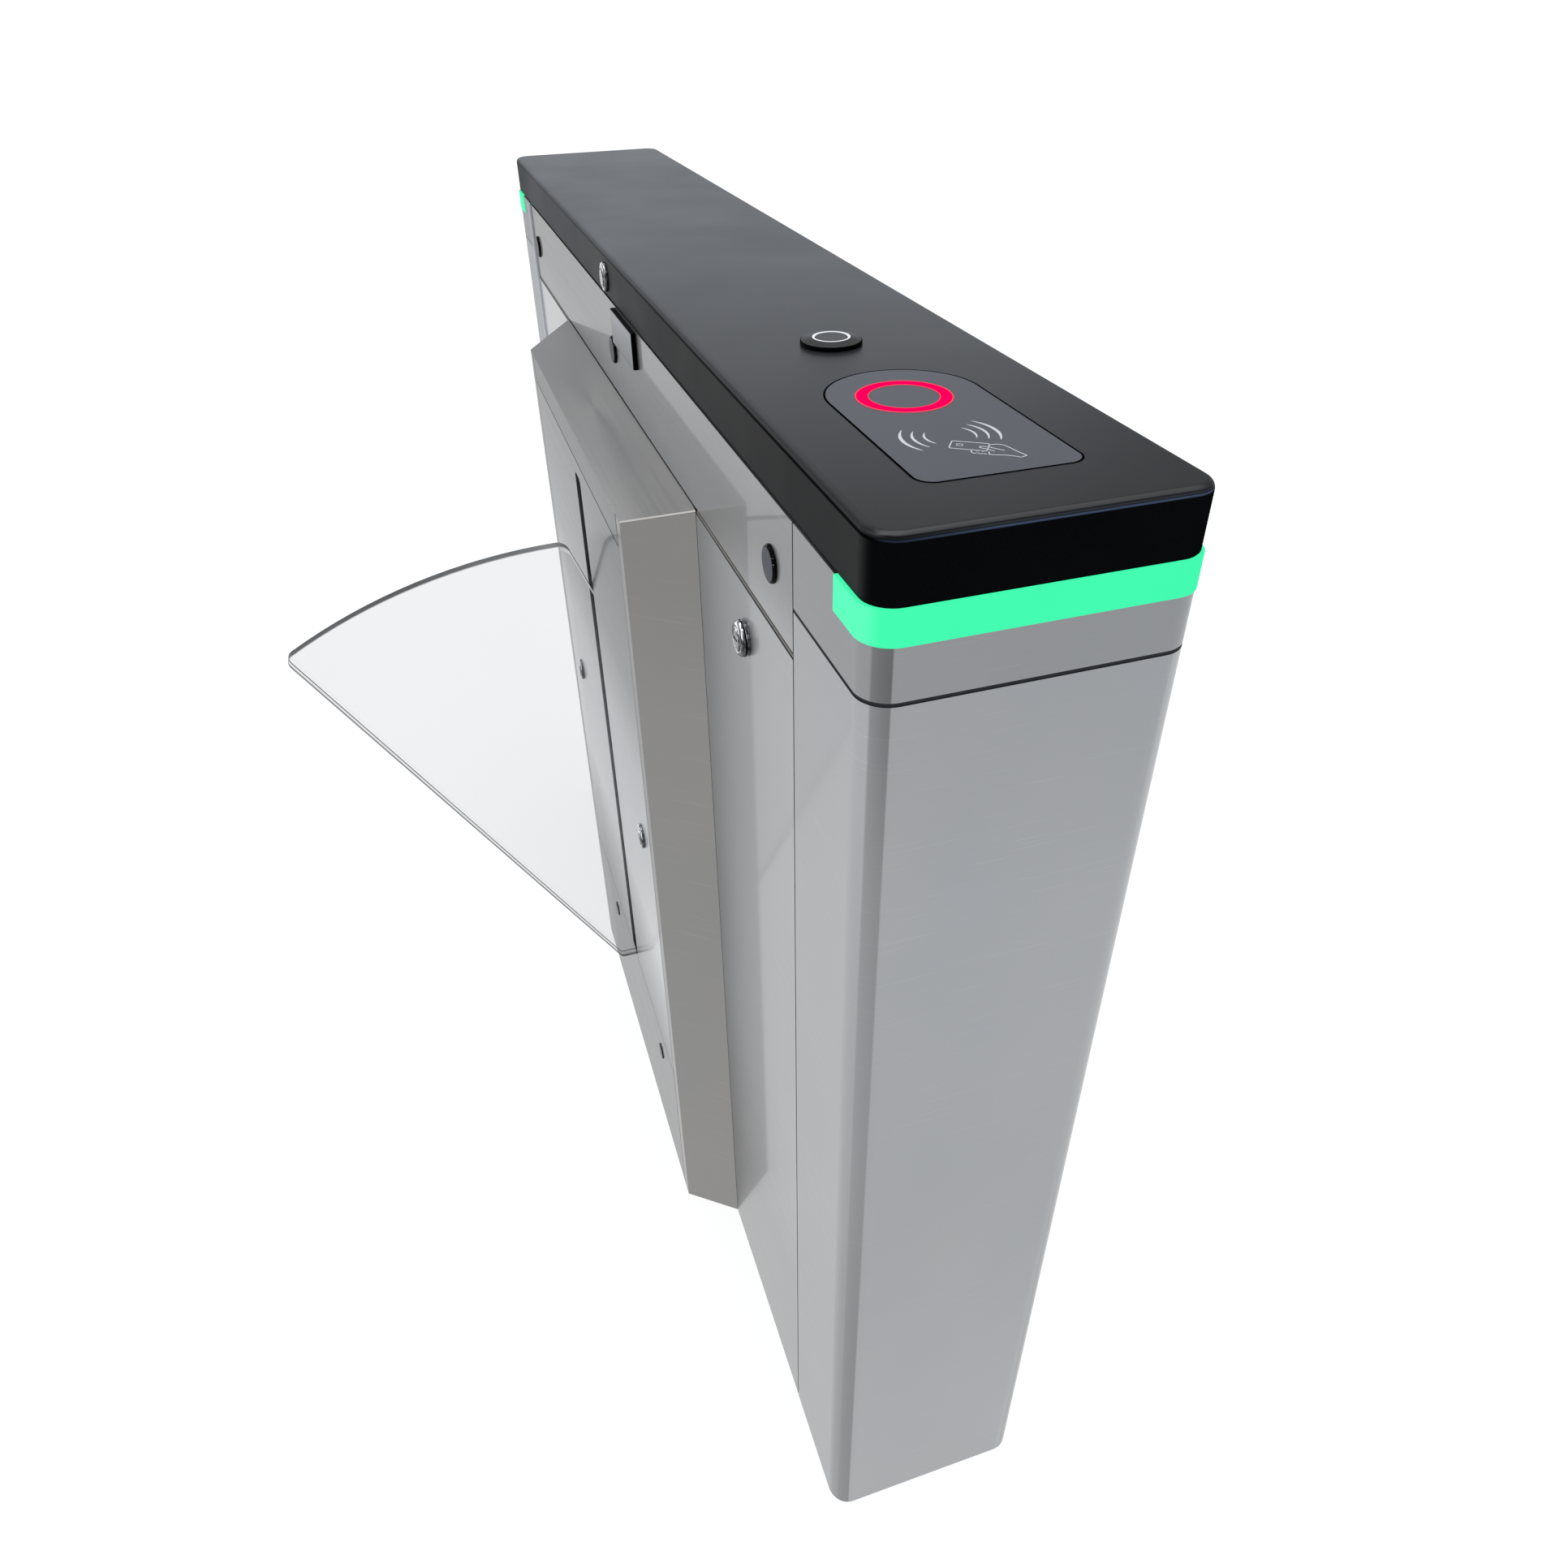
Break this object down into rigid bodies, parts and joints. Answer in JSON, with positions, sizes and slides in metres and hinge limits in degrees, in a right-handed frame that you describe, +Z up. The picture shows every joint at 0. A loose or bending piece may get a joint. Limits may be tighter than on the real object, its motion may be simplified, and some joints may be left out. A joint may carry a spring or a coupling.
{
  "type": "flap barrier turnstile",
  "caption": "Slim brushed-steel flap barrier turnstile with a hinged black lid, card-reader panel, lit end bands and a clear flap that swings back into its side housing.",
  "frame": {"origin": "on the floor at the centre of the four anchor holes, which is the middle of the cabinet", "axes": "+Z up, +Y along the cabinet with the card reader at the -Y end, -X the side the flap swings out of"},
  "size_m": [0.5627, 1.2016, 0.9843],
  "materials": {
    "brushed_steel_sheet": "fine brushed stainless steel, grain along the sheet",
    "galvanised_frame": "dull zinc-grey coat",
    "lid_paint": "satin black powder coat",
    "reader_cover": "satin charcoal",
    "red_light": "lit red diffuser",
    "green_light": "lit green diffuser",
    "button_black": "satin black",
    "white_light": "lit white ring",
    "lens_black": "dark infrared window",
    "badge_metal": "brushed, blank",
    "lock_chrome": "polished",
    "flap_acrylic": "clear, polished edges",
    "machined_steel": "machined, zinc plated",
    "motor_paint": "satin dark grey",
    "black_rubber": "matt",
    "module_plastic": "fine texture",
    "supply_case": "folded sheet case",
    "circuit_board": "solder mask"
  },
  "bodies": {
    "cabinet": {"front_end_cover": "brushed_steel_sheet", "rear_end_cover": "brushed_steel_sheet", "front_upper_cover": "brushed_steel_sheet", "rear_upper_cover": "brushed_steel_sheet", "left_upper_panel": "brushed_steel_sheet", "right_upper_panel": "brushed_steel_sheet", "housing_front_cover": "brushed_steel_sheet", "housing_rear_cover": "brushed_steel_sheet", "housing_top_cover": "brushed_steel_sheet", "housing_lower_panel": "brushed_steel_sheet", "right_front_panel": "brushed_steel_sheet", "right_rear_panel": "brushed_steel_sheet", "right_housing": "brushed_steel_sheet", "base_plate": "galvanised_frame", "frame_posts": "galvanised_frame", "frame_rails": "galvanised_frame", "door_catches": "galvanised_frame", "lid_keeper": "galvanised_frame", "drive_bracket": "galvanised_frame", "front_light_band": "green_light", "rear_light_band": "green_light", "upper_sensor_lenses": "lens_black", "lower_sensor_lenses": "lens_black", "badge_plate": "badge_metal", "pivot_bearings": "machined_steel", "hinge_leaves_fixed": "machined_steel", "hinge_pins": "machined_steel", "gearmotor": "motor_paint", "swing_bumpers": "black_rubber", "cable_grommet": "black_rubber", "controller_box": "module_plastic", "sensor_modules": "module_plastic", "power_supply": "supply_case", "led_boards": "circuit_board"},
    "lid": {"lid_shell": "lid_paint", "reader_panel": "reader_cover", "reader_ring": "red_light", "reader_module": "module_plastic", "button_bezel": "button_black", "button_light_ring": "white_light", "lid_lock_body": "lock_chrome", "hinge_leaves_lid": "machined_steel"},
    "button": {"button_cap": "button_black"},
    "lid_lock": {"lid_lock_plug": "lock_chrome"},
    "front_door": {"front_door": "brushed_steel_sheet", "front_lock_body": "lock_chrome"},
    "front_lock": {"front_lock_plug": "lock_chrome"},
    "rear_door": {"rear_door": "brushed_steel_sheet", "rear_lock_body": "lock_chrome"},
    "rear_lock": {"rear_lock_plug": "lock_chrome"},
    "slot_door": {"slot_door": "brushed_steel_sheet", "slot_lock_bodies": "lock_chrome"},
    "slot_lock_front": {"slot_lock_plug_front": "lock_chrome"},
    "slot_lock_rear": {"slot_lock_plug_rear": "lock_chrome"},
    "flap": {"flap_panel": "flap_acrylic", "flap_clamps": "machined_steel", "clamp_bolts": "machined_steel", "pivot_shaft": "machined_steel", "sector_gear": "machined_steel"},
    "pinion": {"drive_pinion": "machined_steel"}
  },
  "joints": [
    {"name": "flap_swing", "type": "hinge", "parent": "cabinet", "child": "flap", "pos_m": [-0.112, -0.03, 0.128], "axis": [0, 1, 0], "range_deg": [0, 28]},
    {"name": "pinion_spin", "type": "hinge", "parent": "cabinet", "child": "pinion", "pos_m": [-0.0119, 0, 0.128], "axis": [0, 1, 0], "range_deg": [-114, 2]},
    {"name": "lid_hinge", "type": "hinge", "parent": "cabinet", "child": "lid", "pos_m": [0.0955, 0, 0.9442], "axis": [0, 1, 0], "range_deg": [0, 75]},
    {"name": "button_press", "type": "slide", "parent": "lid", "child": "button", "axis": [0, 0, -1], "range_m": [0, 0.0015], "stiffness_N_per_m": 800, "springref_m": -0.001},
    {"name": "lid_lock_turn", "type": "hinge", "parent": "lid", "child": "lid_lock", "pos_m": [-0.09, 0.014, 0.9593], "axis": [1, 0, 0], "range_deg": [0, 90]},
    {"name": "front_door_tilt", "type": "hinge", "parent": "cabinet", "child": "front_door", "pos_m": [-0.091, -0.383, 0.001], "axis": [0, -1, 0], "range_deg": [0, 30]},
    {"name": "front_lock_turn", "type": "hinge", "parent": "front_door", "child": "front_lock", "pos_m": [-0.091, -0.3938, 0.823], "axis": [1, 0, 0], "range_deg": [0, 90]},
    {"name": "rear_door_tilt", "type": "hinge", "parent": "cabinet", "child": "rear_door", "pos_m": [-0.091, 0.383, 0.001], "axis": [0, -1, 0], "range_deg": [0, 30]},
    {"name": "rear_lock_turn", "type": "hinge", "parent": "rear_door", "child": "rear_lock", "pos_m": [-0.091, 0.356, 0.806], "axis": [1, 0, 0], "range_deg": [0, 90]},
    {"name": "slot_door_pull", "type": "slide", "parent": "cabinet", "child": "slot_door", "axis": [-1, 0, 0], "range_m": [0, 0.06]},
    {"name": "slot_lock_front_turn", "type": "hinge", "parent": "slot_door", "child": "slot_lock_front", "pos_m": [-0.14, -0.1804, 0.503], "axis": [-1, 0, 0], "range_deg": [0, 90]},
    {"name": "slot_lock_rear_turn", "type": "hinge", "parent": "slot_door", "child": "slot_lock_rear", "pos_m": [-0.14, 0.146, 0.503], "axis": [1, 0, 0], "range_deg": [0, 90]}
  ],
  "couplings": [
    {"joint": "pinion_spin", "follows": "flap_swing", "ratio": -4}
  ]
}
